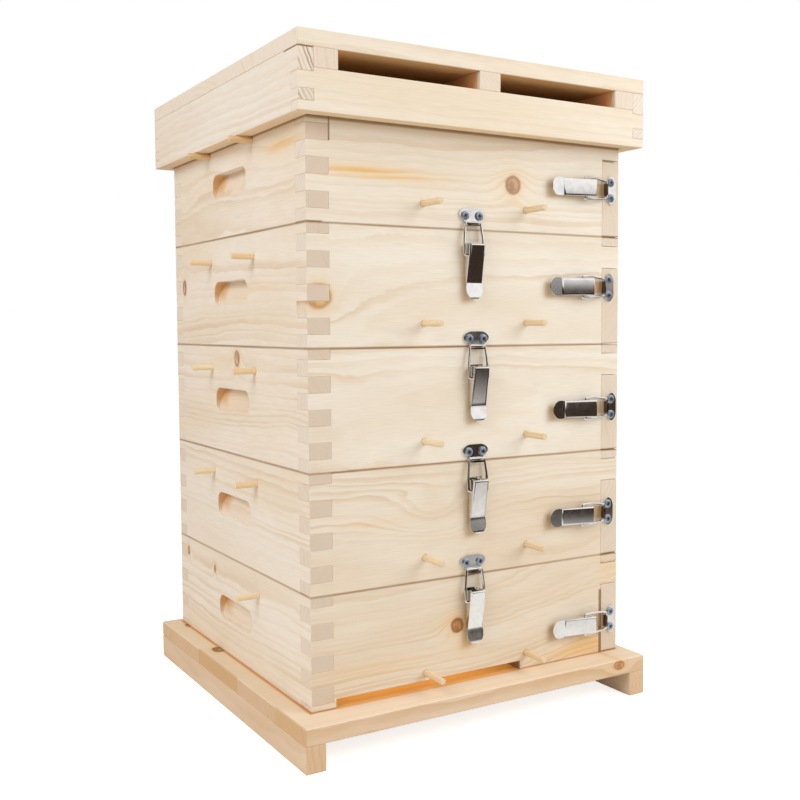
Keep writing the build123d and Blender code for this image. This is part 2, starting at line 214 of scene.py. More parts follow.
def feed(socket, value):
    """Link a socket to another, or set a constant on it."""
    if isinstance(value, bpy.types.NodeSocket):
        socket.id_data.links.new(value, socket)
    elif socket.type == "RGBA" and len(value) == 3:
        socket.default_value = (*value, 1)
    else:
        socket.default_value = value


def add(kind, inputs=(), tree=None, **settings):
    """A shader node, in the tree of its linked inputs unless another is given: its outputs."""
    inputs = dict(inputs)
    links = [value for value in inputs.values() if isinstance(value, bpy.types.NodeSocket)]
    node = (tree or links[0].id_data).nodes.new("ShaderNode" + kind)
    for name, value in settings.items():
        setattr(node, name, value)
    for name, value in inputs.items():
        feed(node.inputs[name], value)
    return node.outputs


def calc(operation, *values):
    """One step of arithmetic."""
    return add("Math", enumerate(values), operation=operation)[0]


def times(first, second):
    """The product of two values."""
    return calc("MULTIPLY", first, second)


def vector_calc(operation, *values, output="Vector"):
    """One step of vector arithmetic."""
    return add("VectorMath", enumerate(values), operation=operation)[output]


def scaled(vector, share):
    """A vector or a colour times one value."""
    return add("VectorMath", {0: vector, "Scale": share}, operation="SCALE")["Vector"]


def noise(place, per_metre, detail=2.0):
    """Smooth noise from 0 to 1, with so many features to the metre each way."""
    vector = vector_calc("MULTIPLY", place, per_metre)
    return add("TexNoise", {"Vector": vector, "Scale": 1.0, "Detail": detail})[0]


def step(value, low, high, start=0.0, end=1.0):
    """A smooth step from start to end while the value goes from low to high."""
    inputs = {"Value": value, "From Min": low, "From Max": high, "To Min": start, "To Max": end}
    return add("MapRange", inputs, interpolation_type="SMOOTHSTEP")[0]


def mix(share, first, second):
    """Two colours mixed, with the given share of the second."""
    return add("Mix", {0: share, 6: first, 7: second}, data_type="RGBA")[2]


def new_group(name, inputs, outputs):
    """An empty shader node group, with the names of its sockets by kind."""
    tree = bpy.data.node_groups.new(name, "ShaderNodeTree")
    for way, kinds in (("INPUT", inputs), ("OUTPUT", outputs)):
        for kind, labels in kinds.items():
            for label in labels.split():
                tree.interface.new_socket(label, in_out=way, socket_type="NodeSocket" + kind)
    return tree, tree.nodes.new("NodeGroupInput").outputs, tree.nodes.new("NodeGroupOutput").inputs


def spot_group():
    """A round or long spot on a board: its swell, which the grain runs round, its disc and its rim."""
    tree, given, made = new_group("board_spot", {"Vector": "Place Centre Size", "Float": "Wobble"},
                                  {"Float": "Swell Disc Rim"})
    offset = vector_calc("SUBTRACT", given["Place"], given["Centre"])
    offset = vector_calc("MULTIPLY", vector_calc("DIVIDE", offset, given["Size"]), (1, 1, 0))
    ragged = times(calc("SUBTRACT", noise(given["Place"], RAGGED_EDGE), 0.5), given["Wobble"])
    away = calc("ADD", vector_calc("LENGTH", offset, output="Value"), ragged)
    wide = calc("POWER", times(away, SWELL_NARROWING), 2.0)
    feed(made["Swell"], calc("EXPONENT", times(wide, -1.0)))
    feed(made["Disc"], step(away, *DISC_EDGE))
    near = calc("POWER", times(calc("SUBTRACT", away, RIM_AT), RIM_NARROWING), 2.0)
    feed(made["Rim"], calc("EXPONENT", times(near, -1.0)))
    return tree


def patch_group():
    """A block of a board between two corners, 1 inside and 0 outside, with a soft edge."""
    tree, given, made = new_group("board_patch", {"Vector": "Place Low High Soft"}, {"Float": "Mask"})
    inward = vector_calc("SUBTRACT", given["Place"], given["Low"])
    outward = vector_calc("SUBTRACT", given["High"], given["Place"])
    depth = vector_calc("DIVIDE", vector_calc("MINIMUM", inward, outward), given["Soft"])
    split = add("SeparateXYZ", {"Vector": depth})
    nearest = calc("MINIMUM", calc("MINIMUM", split[0], split[1]), split[2])
    feed(made["Mask"], step(nearest, 0.0, 1.0))
    return tree


def rings_group():
    """Growth rings cut by a board: late wood, broad tone and fine fibre."""
    inputs = {"Vector": "Place Pith", "Float": "Ring_Width Wander Lift Seed"}
    tree, given, made = new_group("pine_rings", inputs, {"Float": "Ring Tone Fibre"})
    seeded = vector_calc("ADD", given["Place"], scaled(SEED_APART, given["Seed"]))
    drift = times(calc("SUBTRACT", noise(seeded, GRAIN_DRIFT, 1.5), 0.5), given["Wander"])
    ripple = times(calc("SUBTRACT", noise(seeded, GRAIN_RIPPLE), 0.5), given["Ring_Width"])
    across = vector_calc("MULTIPLY", vector_calc("SUBTRACT", given["Place"], given["Pith"]), (0, 1, 1))
    radius = vector_calc("LENGTH", across, output="Value")
    for extra in (drift, ripple, given["Lift"]):
        radius = calc("ADD", radius, extra)
    count = calc("DIVIDE", radius, given["Ring_Width"])
    pace = calc("ADD", times(count, UNEVEN_PACE), given["Seed"])
    uneven = add("TexNoise", {"W": pace, "Scale": 1.0}, noise_dimensions="1D")[0]
    count = calc("ADD", count, times(uneven, UNEVEN_SHIFT))
    year = calc("FRACT", count)
    late = times(step(year, *LATE_RISE), step(year, *LATE_FALL))
    whole = calc("ADD", calc("FLOOR", count), given["Seed"])
    strength = step(add("TexWhiteNoise", {"W": whole}, noise_dimensions="1D")[0], *YEAR_STRENGTH)
    patchy = step(noise(seeded, GRAIN_PATCHES), *PATCH_STRENGTH)
    feed(made["Ring"], times(times(late, strength), patchy))
    feed(made["Tone"], noise(seeded, GRAIN_TONE, 2.5))
    feed(made["Fibre"], noise(seeded, GRAIN_FIBRE, 1.5))
    return tree


def end_grain_group():
    """Where a face is cut across the grain."""
    tree, given, made = new_group("end_grain", {"Vector": "Grain"}, {"Float": "End"})
    normal = add("TexCoord", tree=tree)["Normal"]
    facing = calc("ABSOLUTE", vector_calc("DOT_PRODUCT", normal, given["Grain"], output="Value"))
    feed(made["End"], step(facing, *END_FACING))
    return tree


def planed_pine_group():
    """Colour, roughness and relief of planed pine from its rings, fibre and end grain."""
    inputs = {"Float": "Ring Tone Fibre End End_Rings", "Color": "Pale Warm Late End_Colour End_Late"}
    tree, given, made = new_group("planed_pine", inputs, {"Color": "Color", "Float": "Roughness Height"})
    colour = mix(step(given["Tone"], *WARM_TONE), given["Pale"], given["Warm"])
    colour = mix(times(given["Ring"], LATE_SHARE), colour, given["Late"])
    ends = mix(times(given["Ring"], given["End_Rings"]), given["End_Colour"], given["End_Late"])
    colour = mix(given["End"], colour, ends)
    feed(made["Color"], scaled(colour, step(given["Fibre"], *FIBRE_SHADE)))
    rough = step(given["Fibre"], *FIBRE_ROUGHNESS)
    feed(made["Roughness"], calc("ADD", rough, times(given["End"], END_ROUGHER)))
    hairs = times(given["Fibre"], FIBRE_HEIGHT)
    feed(made["Height"], calc("ADD", times(given["Ring"], RING_HEIGHT), hairs))
    return tree


def plating_group():
    """Plated metal with faint rolling lines and finger smudges."""
    tree, given, made = new_group("plated_metal", {"Vector": "Place", "Color": "Base", "Float": "Rough"},
                                  {"Color": "Color", "Float": "Roughness Height"})
    smudge = noise(given["Place"], METAL_SMUDGES, 3.0)
    lines = noise(given["Place"], METAL_LINES)
    shade = calc("ADD", step(smudge, *SMUDGE_SHADE), step(lines, *LINE_SHADE))
    feed(made["Color"], scaled(given["Base"], shade))
    feed(made["Roughness"], calc("ADD", given["Rough"], step(smudge, *SMUDGE_ROUGHNESS)))
    feed(made["Height"], lines)
    return tree


SPOT = spot_group()
PATCH = patch_group()
RINGS = rings_group()
END_GRAIN = end_grain_group()
PLANED_PINE = planed_pine_group()
PLATING = plating_group()


def use(group, tree=None, **inputs):
    """A group placed in a material, with its inputs by name."""
    return add("Group", inputs, tree, node_tree=group)


def new_material(name):
    """An empty material with its Principled shader."""
    material = bpy.data.materials.new(name)
    material.use_nodes = True
    return material, material.node_tree, material.node_tree.nodes["Principled BSDF"]


def cover(shader, colour, made, depth):
    """A shader's colour, with the roughness and the fine relief that a group made."""
    relief = {"Height": made["Height"], "Distance": depth * MM, "Strength": RELIEF_STRENGTH}
    feed(shader.inputs["Base Color"], colour)
    feed(shader.inputs["Roughness"], made["Roughness"])
    feed(shader.inputs["Normal"], add("Bump", relief)[0])


def board_place(tree, lay, centre):
    """Coordinates on a board, from its centre, in metres along, across and through it."""
    place = add("TexCoord", tree=tree)["Object"]
    return add("Mapping", {"Vector": place, "Rotation": lay.to_euler(), "Location": -(lay @ centre)})[0]


def spot_sockets(place, along, across, length, height):
    """One spot placed in millimetres on a board."""
    return use(SPOT, Place=place, Centre=(along * MM, across * MM, 0), Size=(length * MM, height * MM, 1),
               Wobble=RAGGEDNESS)


def pine(name, lay, centre, look, pith, seed, ring=4.2, wander=9.0, knots=(), edge_knots=(), swirls=(),
         stains=(), patches=(), seam_half=None):
    """Planed pine of one board, with places in millimetres from its centre. The pith is (across, through),
    a knot is (along, across, length, height, rise, colours), an edge knot has through for across, a swirl
    has no colours, a stain has a share for its rise, and a patch is (low corner, high corner, soft edge,
    colour, share)."""
    material, tree, shader = new_material(name)
    place = board_place(tree, lay, centre)
    split = add("SeparateXYZ", {"Vector": place})
    edge_place = add("CombineXYZ", {"X": split[0], "Y": split[2], "Z": split[1]})[0]
    lift = 0.0
    marks = []
    for plane, spots in ((place, knots), (edge_place, edge_knots), (place, swirls)):
        for along, across, length, height, rise, *colours in spots:
            spot = spot_sockets(plane, along, across, length, height)
            lift = calc("ADD", lift, times(spot["Swell"], rise * MM))
            if colours:
                marks.append((spot, colours[0]))
    rings = use(RINGS, Place=place, Pith=(0, pith[0] * MM, pith[1] * MM), Ring_Width=ring * MM,
                Wander=wander * MM, Lift=lift, Seed=seed)
    end = use(END_GRAIN, tree, Grain=lay.row[0])["End"]
    wood = use(PLANED_PINE, End=end, **dict(rings.items()), **look)
    colour = wood["Color"]
    for *spread, strength in stains:
        spot = spot_sockets(place, *spread)
        share = times(calc("POWER", spot["Swell"], STAIN_FADE), strength)
        share = times(share, step(rings["Ring"], *STAIN_IN_RINGS))
        colour = mix(share, colour, RESIN_STREAK)
    for *block, tint, share in patches:
        low, high, soft = [Vector(corner) * MM for corner in block]
        mask = use(PATCH, Place=place, Low=low, High=high, Soft=soft)["Mask"]
        colour = mix(times(mask, share), colour, tint)
    if marks:
        mottle = times(step(noise(place, KNOT_MOTTLE), *KNOT_SPECKLE), MOTTLE_SHARE)
    for spot, (heart, rim) in marks:
        halo = times(calc("POWER", spot["Swell"], HALO_FADE), HALO_SHARE)
        colour = mix(halo, colour, RESIN_STREAK)
        inside = times(spot["Disc"], step(rings["Tone"], *KNOT_UNEVEN))
        colour = mix(inside, colour, mix(mottle, heart, rim))
        colour = mix(times(spot["Rim"], RIM_SHARE), colour, rim)
    if seam_half:
        edge = calc("ABSOLUTE", split[1])
        seam = step(edge, seam_half - SEAM_SOFT * MM, seam_half - SEAM_FULL * MM)
        seam = times(seam, step(rings["Tone"], *SEAM_UNEVEN))
        colour = mix(seam, colour, SEAM_SHADE)
    cover(shader, colour, wood, GRAIN_RELIEF)
    shader.inputs["Specular IOR Level"].default_value = WOOD_SHINE
    return material


def plated(name, base, rough, bright_depth=None):
    """Plated sheet or wire. A hook's lip, from some way in front of the front walls, is painted dark: a
    painted reflection of the shaded wood beneath it.
    """
    material, tree, shader = new_material(name)
    place = add("TexCoord", tree=tree)["Object"]
    metal = use(PLATING, Place=place, Base=base, Rough=rough)
    colour = metal["Color"]
    if bright_depth:
        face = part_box("box_1_front_wall")[0].y
        depth = calc("SUBTRACT", face, add("SeparateXYZ", {"Vector": place})[1])
        dark_lip = step(depth, bright_depth * MM, (bright_depth + LIP_FADE) * MM)
        colour = mix(dark_lip, colour, LIP_REFLECTION_DARK)
    cover(shader, colour, metal, PLATE_RELIEF)
    shader.inputs["Metallic"].default_value = 1.0
    return material


def round_edges(piece, name, width, angle):
    """Edges sharper than an angle, rounded over."""
    bevel = piece.modifiers.new(name, "BEVEL")
    bevel.width = width * MM
    bevel.segments = 2
    bevel.limit_method = "ANGLE"
    bevel.angle_limit = radians(angle)
    return bevel


def soften(board, width):
    """Sanded edges on a board."""
    weld = board.modifiers.new("weld", "WELD")
    weld.merge_threshold = TOUCH * MM
    flatten = board.modifiers.new("flatten", "DECIMATE")
    flatten.decimate_type = "DISSOLVE"
    flatten.angle_limit = radians(FLAT_WITHIN)
    round_edges(board, "sanded_edges", width, SANDED_FROM)


def dress_board(name, lay, look, sanded=0.5, seams=False, **grain):
    """A CAD board gets its own pine, and sanded edges unless they stay as sawn."""
    low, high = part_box(name)
    half = lay @ (high - low) / 2
    grain["seam_half"] = abs(half.y) if seams else None
    material = pine(name + "_pine", lay, (low + high) / 2, look, **grain)
    board = nodes[name]
    board.data.materials.clear()
    board.data.materials.append(material)
    if sanded:
        soften(board, sanded)


# Grain of the walls, with the knots, swirls and stains seen in the photograph
FRONT_GRAIN = {
    1: dict(pith=(70, -60), seed=1.3, ring=4.6, knots=[(35, -8, 6.8, 6.8, 9, PINK_KNOT)],
            swirls=[(150, 40, 40, 20, 7)],
            stains=[(-98, -6, 34, 3.4, 0.95), (-60, -10, 30, 1.8, 0.5), (35, -8, 17, 14, 0.3)]),
    2: dict(pith=(-14, -75), seed=2.1, ring=4.4, knots=[(-136, -7.5, 9.5, 8.4, 8, AMBER_KNOT)],
            swirls=[(-150, 8, 60, 14, 11), (120, 30, 70, 12, 5)], stains=[(125, 5, 14, 3, 0.35)]),
    3: dict(pith=(-10, -52), seed=3.7, ring=4.2,
            swirls=[(-150, -12, 46, 11, 10), (135, -10, 60, 9, 9)], stains=[(40, -9, 20, 1.6, 0.3)]),
    4: dict(pith=(-30, -62), seed=4.4, ring=4.0,
            swirls=[(-39, 8, 16, 8, 13), (30, -20, 60, 9, -4)], stains=[(-92, 4, 20, 2.4, 0.35)]),
    5: dict(pith=(60, -50), seed=5.2, ring=3.8, knots=[(-19, 3.5, 5.4, 5.6, 8, ORANGE_KNOT)],
            swirls=[(150, 44, 42, 24, 16), (118, -48, 26, 16, 11)],
            stains=[(112, -36, 26, 8, 0.55), (119, -33, 20, 1.6, 0.9), (108, -38, 24, 1.8, 0.9),
                    (114, -28, 18, 1.2, 0.7), (-80, -18, 46, 5, 0.3), (136, 32, 9, 9, 0.6),
                    (-20, 3.5, 10, 10, 0.6), (-11, -14, 7, 5, 0.7)]),
}
LEFT_GRAIN = {
    1: dict(pith=(-30, 55), seed=6.2, ring=4.6,
            swirls=[(118, -6, 16, 7, 6), (-120, 8, 46, 10, 8)], stains=[(-105, 14, 20, 4.5, 0.75)]),
    2: dict(pith=(40, 60), seed=7.1, ring=4.4, knots=[(120.5, 7, 4.5, 6.5, 8, RINGED_KNOT)],
            swirls=[(-40, -30, 60, 12, 6)], stains=[(-60, 2, 34, 3, 0.35)]),
    3: dict(pith=(60, 48), seed=8.6, ring=4.2, knots=[(-8, 35, 5, 6, 8, RINGED_KNOT)],
            swirls=[(-110, -16, 24, 12, 7)], stains=[(22, 34, 24, 2.4, 0.4)]),
    4: dict(pith=(-55, 62), seed=9.9, ring=4.4, swirls=[(-60, 10, 60, 12, 6)]),
    5: dict(pith=(50, 54), seed=10.4, ring=4.2,
            knots=[(123, 30, 3, 4, 5, PINK_KNOT), (53, 26, 2.4, 3.4, 4, PINK_KNOT)],
            swirls=[(60, -20, 60, 10, -5)]),
}
DOOR_KNOTS = {2: [(60, 12, 6, 6, 8, PINK_KNOT)], 3: [(-70, -20, 5, 5, 7, RINGED_KNOT)],
              5: [(-138, 30, 7, 9, 10, ORANGE_KNOT), (40, 8, 6, 7, 8, PINK_KNOT)]}
BACK_KNOTS = {1: [(-60, 10, 6, 6, 8, PINK_KNOT)], 3: [(20, -18, 7, 7, 9, ORANGE_KNOT)],
              4: [(90, 14, 5, 5, 7, RINGED_KNOT)]}
SCOOP_ALONG = (-32.5, 42.5)
SCOOP_DROP = (36.0, 56.0)
SCOOP_SKIN = 0.3

# Painted shade on the walls of the top box: a dark line along the roof's foot, and a warm painted shadow
# below it
UNDER_ROOF_SHADE = [((-160, 21, -20), (160, 60, 20), (1, 8, 1), SKIRT_WARM_SHADOW, 0.4),
              ((-160, 27, -20), (160, 31.5, 20), (1, 1.7, 1), SKIRT_SHADE_LINE, 0.8)]

# Joints that stand open a little on the front walls and at the ends of the doors, and painted shade on the
# end face of the entrance slot
OPEN_JOINTS_AND_SLOT_SHADE = {
    "box_1_front_wall": [((-127.3, 13.4, -10), (-125.6, 33, 10), (0.5, 0.5, 1), 0.8),
                         ((-130, 12.9, -10), (-125.6, 15.2, 10), (1, 0.8, 1), 0.8),
                         ((-147, -46, -12), (-131, -43.4, 12), (3, 0.7, 1), 0.85)],
    "box_1_door": [((-150, 16.8, -10), (-138, 19.2, 5), (2, 0.8, 3), 0.8)],
    "box_5_door": [((-150, -46, -10), (-138, 14, -7.6), (1, 3, 0.7), 0.85)],
    "box_5_front_wall": [((124.7, -46, -12), (128.6, 14, 12), (0.7, 3, 1), 0.85),
                         # painted shade on the end face of the entrance slot
                         ((39, -43.5, -12), (42.3, -35, 12), (0.8, 1, 1), 0.9)],
}


def scoop_patches(name):
    """Painted warm shade in the routed hand hold of a left wall, deepest at its rear end."""
    low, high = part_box(name)
    half = (high - low) / 2 / MM
    skin = SCOOP_SKIN - half.x
    near, far = SCOOP_ALONG
    ceiling, floor = [half.z - drop for drop in SCOOP_DROP]
    return [((near - 1, floor - 1, skin), (far + 1, ceiling + 1, 20), (3, 3, 0.6), POCKET_WARM_SHADE, 0.3),
            ((far - 24, floor + 1, skin), (far + 24, ceiling + 14, 20), (22, 12, 0.8), POCKET_END_SHADE, 0.85)]


def latch_shadows(name):
    """Painted warm shadow on a front wall below and left of each lever, and in a door latch's bail."""
    low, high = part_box(name)
    middle = (low + high) / 2
    under_lever = (-WEB_LENGTH - TAB_LENGTH, FLANGE_R, LEVER_HALF)
    in_bail = (FLANGE_R - 2, LIP_FROM_PIVOT, LIP_HALF)
    patches = []
    for latch, place in latch_places().items():
        if not low.z < (place @ Vector(((under_lever[0] + under_lever[1]) / 2, 0, 0))).z < high.z:
            continue
        spots = [(under_lever, (-5, -5, -20), (-1, -1, 20), (8, 6, 1), 0.6)]
        if latch.startswith("door"):
            spots.append((in_bail, (-1, -1, -20), (2, 1, 20), (2, 2, 1), 0.75))
        for (start, end, half), grow_low, grow_high, soft, share in spots:
            corners = [place @ Vector(at) for at in ((start, 0, -half), (end, 0, half))]
            corners = [ALONG_X @ (corner - middle) / MM for corner in corners]
            least, most = [Vector(map(pick, *corners)) for pick in (min, max)]
            patches.append((least + Vector(grow_low), most + Vector(grow_high), soft, LATCH_WARM_SHADOW, share))
    return patches


def dress_hive():
    """Every wall board of the five boxes."""
    for box in range(1, 6):
        shade = UNDER_ROOF_SHADE if box == 1 else []
        look = UPPER_PINE if box < 4 else LOWER_PINE
        boards = [f"box_{box}_{side}" for side in ("front_wall", "left_wall", "back_wall", "door")]
        front, left, back, door = boards
        marks = {board: shade + [(*block, OPEN_JOINT_AND_SHADE, share) for *block, share in OPEN_JOINTS_AND_SLOT_SHADE.get(board, [])]
                 for board in boards}
        marks[left] += scoop_patches(left)
        marks[front] += latch_shadows(front)
        way = 1 if box % 2 else -1
        back_grain = dict(pith=(way * 46, 58), seed=11.5 + box, knots=BACK_KNOTS.get(box, []),
                          swirls=[(way * 90, -12, 60, 12, 8)])
        door_grain = dict(pith=(-way * 40, -56), seed=17.2 + box, knots=DOOR_KNOTS.get(box, []),
                          swirls=[(-way * 70, 10, 50, 12, 8)])
        for board, lay, pine_look, grain in ((front, ALONG_X, look, FRONT_GRAIN[box]),
                                             (left, ALONG_Y, LEFT_PINE, LEFT_GRAIN[box]),
                                             (back, ALONG_X, look, back_grain),
                                             (door, ALONG_Y, look | DOOR_END, door_grain)):
            dress_board(board, lay, pine_look, seams=True, patches=marks[board], **grain)


def dress_roof_and_floor():
    """The roof's boards, the slatted cover and the floor."""
    # the roof deck's underside carries painted shade
    dress_board("roof_deck", FLAT_X, ROOF_PINE, sanded=0.8, pith=(40, -95), seed=23.1, ring=5.2, wander=14,
                knots=[(60, 70, 7, 7, 9, PINK_KNOT), (-90, -60, 6, 6, 8, PINK_KNOT)],
                swirls=[(-20, -110, 90, 14, 9)],
                patches=[((-146, -161, -7.0), (146, 161, -5.5), (0.3, 0.3, 0.3), SLOT_SHADE, 0.9)])
    # the roof's front and side boards carry painted shade on their undersides
    dress_board("roof_front_board", ALONG_X, ROOF_PINE, sanded=0.7, pith=(-90, -40), seed=24.6, ring=5.6,
                wander=6, patches=[((-170, -18, -10), (170, -14.5, 10), (1, 0.4, 1), SKIRT_UNDERSIDE_SHADE, 0.9)])
    dress_board("roof_back_board", ALONG_X, ROOF_PINE, sanded=0.7, pith=(70, 40), seed=25.3, ring=5.0)
    dress_board("roof_side_boards", ALONG_Y, ROOF_SIDE_PINE, sanded=0.7, pith=(100, 39), seed=26.8,
                ring=3.2, wander=6,
                patches=[((-162, 20.7, -158), (-138, 23, -145), (0.4, 0.4, 0.4), OPEN_JOINT_AND_SHADE, 0.9),
                         ((-170, -30, 140), (-160, 30, 170), (0.6, 0.6, 0.6), ROOF_PINE["End_Colour"], 0.8),
                         ((-170, -25, -170), (170, -21.5, 170), (1, 0.4, 1), SKIRT_UNDERSIDE_SHADE, 0.9)])
    # the battens carry a painted glow of bounced light
    dress_board("roof_battens", ALONG_Y, BATTEN_PINE, pith=(22, 30), seed=27.4, ring=3.4,
                patches=[((-159, -20, -170), (159, 20, 170), (3, 3, 3), BATTEN_SLOT_GLOW, 0.8)])
    # the slatted cover's top carries painted shade
    dress_board("inner_cover", FLAT_X, LOWER_PINE, sanded=0, pith=(30, -40), seed=28.2,
                patches=[((-160, -160, 3.5), (160, 160, 12), (1, 1, 2.5), COVER_TOP_SHADE, 0.9)])
    dress_board("floor_planks", FLAT_X, FLOOR_PINE, sanded=0.8, pith=(30, -60), seed=29.7, ring=4.8,
                knots=[(30, 60, 6, 6, 8, PINK_KNOT), (-144, 48, 5, 7, 4, ORANGE_KNOT),
                       (-142, 135, 2, 5, 2, ORANGE_KNOT)],
                edge_knots=[(130, 2.3, 5.5, 3.5, 5, RED_KNOT)],
                patches=[((-170, -170, 5.6), (170, 170, 8.0), (0.4, 0.4, 0.4), FLOOR_TOP, 0.65),
                         # the floor inside the entrance slot: painted glow
                         ((-121, -136.4, 4.0), (45.5, -80, 9.0), (0.6, 0.6, 0.6), ENTRANCE_PAINTED_GLOW, 0.95),
                         ((-160, -34, -12), (-156.6, 62, 12), (0.6, 4, 4), GOLD_EDGE, 0.65),
                         ((-160, -170, -12), (-156.6, -104, 12), (0.6, 8, 4), GOLD_EDGE, 0.5),
                         # painted shade on the floor along the foot of the walls
                         ((-143.4, -138, 5.0), (-139, 156, 9), (1.4, 1, 0.5), FOOT_SHADE_LINE, 0.9),
                         ((-143.4, -138.4, 5.0), (150, -134, 9), (1, 1.4, 0.5), FOOT_SHADE_LINE, 0.6)])
    dress_board("floor_runners", ALONG_Y, FLOOR_PINE, sanded=0.8, pith=(35, 25), seed=30.5, ring=4.2)


# Latch sizes in millimetres, in a latch's own frame: x towards the hook, y out of the wall, z across
SHEET = 1.2
PIVOT_RISE = 6.0
RIVET_R = 1.25
RIVET_HEAD_R = 2.0
RIVET_DOME = 0.45
RIVET_HEAD_STEPS = ((1, 0.45), (0.75, 0.8), (0.3, 1), (0, 1))
RIVET_SIDES = 16
LINK_ARM = 6.5
LEVER_HALF = 7.0
LEVER_TILT = 12.5
WEB_LENGTH = 27.0
WEB_LIFT = 2.8
OPEN_BELOW = 2.9
FLANGE_R = 3.0
HEEL = 1.0
FLANGE_BELLY = 2.6
FLANGE_ROUNDING = 0.9
PRESSED_BEND = 1.6
NOSE_ROLL = 0.8
TAB_LENGTH = 13.5
TAB_HALF = 7.5
TAB_FLARE = 20.0
TAB_STEPS = 7
TAB_END_TURN = 88.0
TAB_CURL = 50.0
TAB_CURL_LENGTH = 2.0
EAR_OUT = 5.5
EAR_R = 2.5
EAR_FOOT = 1.3
EAR_CUT = (-2.2, -0.6)
EAR_ROUNDING = 2.45
BASE_TAIL = 23.0
BASE_NOSE = 4.0
BASE_ROUNDING = 3.3
WIRE_R = 1.1
WIRE_TOUCH = 0.0005
BAIL_END = 5.2
BAIL_WIDE = 8.8
BAIL_NARROW = 7.0
BAIL_STRAIGHT = 10.5
BAIL_BEND = 2.4
BAR_FROM_PIVOT = 18.6
BAR_RISE = 2.7
LIP_FROM_PIVOT = 16.0
LIP_HEIGHT = 6.5
LIP_HALF = 5.0
LIP_BEND = 1.8
LIP_CORNER = 1.4
PLATE_OUTLINE = ((25.0, 13.2), (30.0, 8.0))
PLATE_ROUNDING = 3.2
SCREW_HEAD_R = 3.6
SCREW_HEAD_H = 1.3
CROSS_REACH = 1.7
CROSS_HALF = 0.42
CROSS_DEPTH = 0.5
CROSS_TAPER = 0.6
CROWN_SHARE = 0.66
SCREW_HEAD_STEPS = ((0.12, 0.84), (0.4, 0.96), (0.75, 1.0), (SCREW_HEAD_H, 1.0))
SCREW_SIDES = 24
LATCH_SCREW_TURN = (37, 61)
HOOK_SCREWS = ((24.0, -6.5), (24.0, 6.5))
BASE_SCREWS = ((-10.5, 0.0), (-18.5, 0.0))

# Dowels and hinges in millimetres
DOWEL_R = 2.5
DOWEL_HALF_SPACING = 48.0
DOWEL_ROUNDING = 0.5
DOWEL_SIDES = 28
DOWEL_PITH = (30, 20)
DOWEL_RING = 3.0
HINGE_LEAF = 15.0
HINGE_HEIGHT = 30.0
HINGE_BARREL_R = 2.4
HINGE_PIN_R = 1.2
PIN_TIP = 0.1
PIN_TIP_R = 0.6
PIN_SIDES = 16
HINGE_CORNER = 3.0
KNUCKLE_GAP = 0.3
KNUCKLE_ROUNDING = 0.25
KNUCKLE_SIDES = 20
HINGE_SCREW_OUT = 9.5
HINGE_SCREW_RISE = 8.5
HINGE_SCREW_R = 2.6
HINGE_SCREW_FLAT = 0.5
HINGE_SCREW_TURN = (25, 70)


def only(kind, geometry):
    """The vertices, edges or faces among what an operator made."""
    return [item for item in geometry if isinstance(item, kind)]


def rotation(degrees, axis):
    """A turn about one axis."""
    return Matrix.Rotation(radians(degrees), 4, axis)


def face_out(bm):
    """Every face turned to face outwards."""
    bmesh.ops.recalc_face_normals(bm, faces=bm.faces)


def face_sheet(bm, way):
    """The faces of an open sheet turned alike, its widest flat one out of the wall or into it."""
    face_out(bm)
    web = max(bm.faces, key=lambda face: face.calc_area() * (abs(face.normal.y) > 0.9))
    if web.normal.y * way < 0:
        bmesh.ops.reverse_faces(bm, faces=bm.faces)


def pull(bm, faces, move):
    """Faces drawn out by a move: their new vertices."""
    verts = only(bmesh.types.BMVert, bmesh.ops.extrude_face_region(bm, geom=faces)["geom"])
    bmesh.ops.translate(bm, vec=move, verts=verts)
    return verts


def extend(bm, edges):
    """Faces drawn out of some edges: the vertices and the edges of their far side, still in place."""
    grown = bmesh.ops.extrude_edge_only(bm, edges=edges)["geom"]
    verts = only(bmesh.types.BMVert, grown)
    new_edges = only(bmesh.types.BMEdge, grown)
    return verts, [edge for edge in new_edges if all(vert in verts for vert in edge.verts)]


def draw_round(bm, edges, start, stations):
    """A ring of edges drawn along z from its start through (height, radius) stations, to its last ring."""
    height, radius = start
    for next_height, next_radius in stations:
        ring, edges = extend(bm, edges)
        grow = next_radius / radius
        bmesh.ops.scale(bm, vec=(grow, grow, 1), verts=ring)
        bmesh.ops.translate(bm, vec=(0, 0, next_height - height), verts=ring)
        height, radius = next_height, next_radius
    return edges


def turned(half, ends, sides):
    """A round bar along z, alike from both ends: (height, radius) stations from one, and the ends' sum."""
    stations = half + [(ends - height, radius) for height, radius in reversed(half)]
    bm = bmesh.new()
    height, radius = stations[0]
    bmesh.ops.create_circle(bm, cap_ends=True, segments=sides, radius=radius,
                            matrix=Matrix.Translation((0, 0, height)))
    edges = draw_round(bm, bm.edges[:], stations[0], stations[1:])
    bmesh.ops.edgeloop_fill(bm, edges=edges)
    face_out(bm)
    return bm


def plate(points, thickness, rounding, rounded, segments=5):
    """A flat plate in x and z, some of its corners rounded, rising from y 0 or without thickness."""
    bm = bmesh.new()
    corners = [bm.verts.new((x, 0, z)) for x, z in points]
    bm.faces.new(corners)
    bmesh.ops.bevel(bm, geom=[corners[i] for i in rounded], affect="VERTICES", offset=rounding,
                    segments=segments, profile=0.5, material=-1, offset_type="OFFSET")
    if thickness:
        pull(bm, bm.faces[:], (0, thickness, 0))
        face_out(bm)
    return bm


def new_mesh(name, bm):
    """A bmesh made into a mesh, and freed."""
    mesh = bpy.data.meshes.new(name)
    bm.to_mesh(mesh)
    bm.free()
    return mesh


def join(parts):
    """Several bmeshes, each with its place, as one."""
    whole = bmesh.new()
    for part, place in parts:
        part.transform(place)
        mesh = new_mesh("part", part)
        whole.from_mesh(mesh)
        bpy.data.meshes.remove(mesh)
    return whole


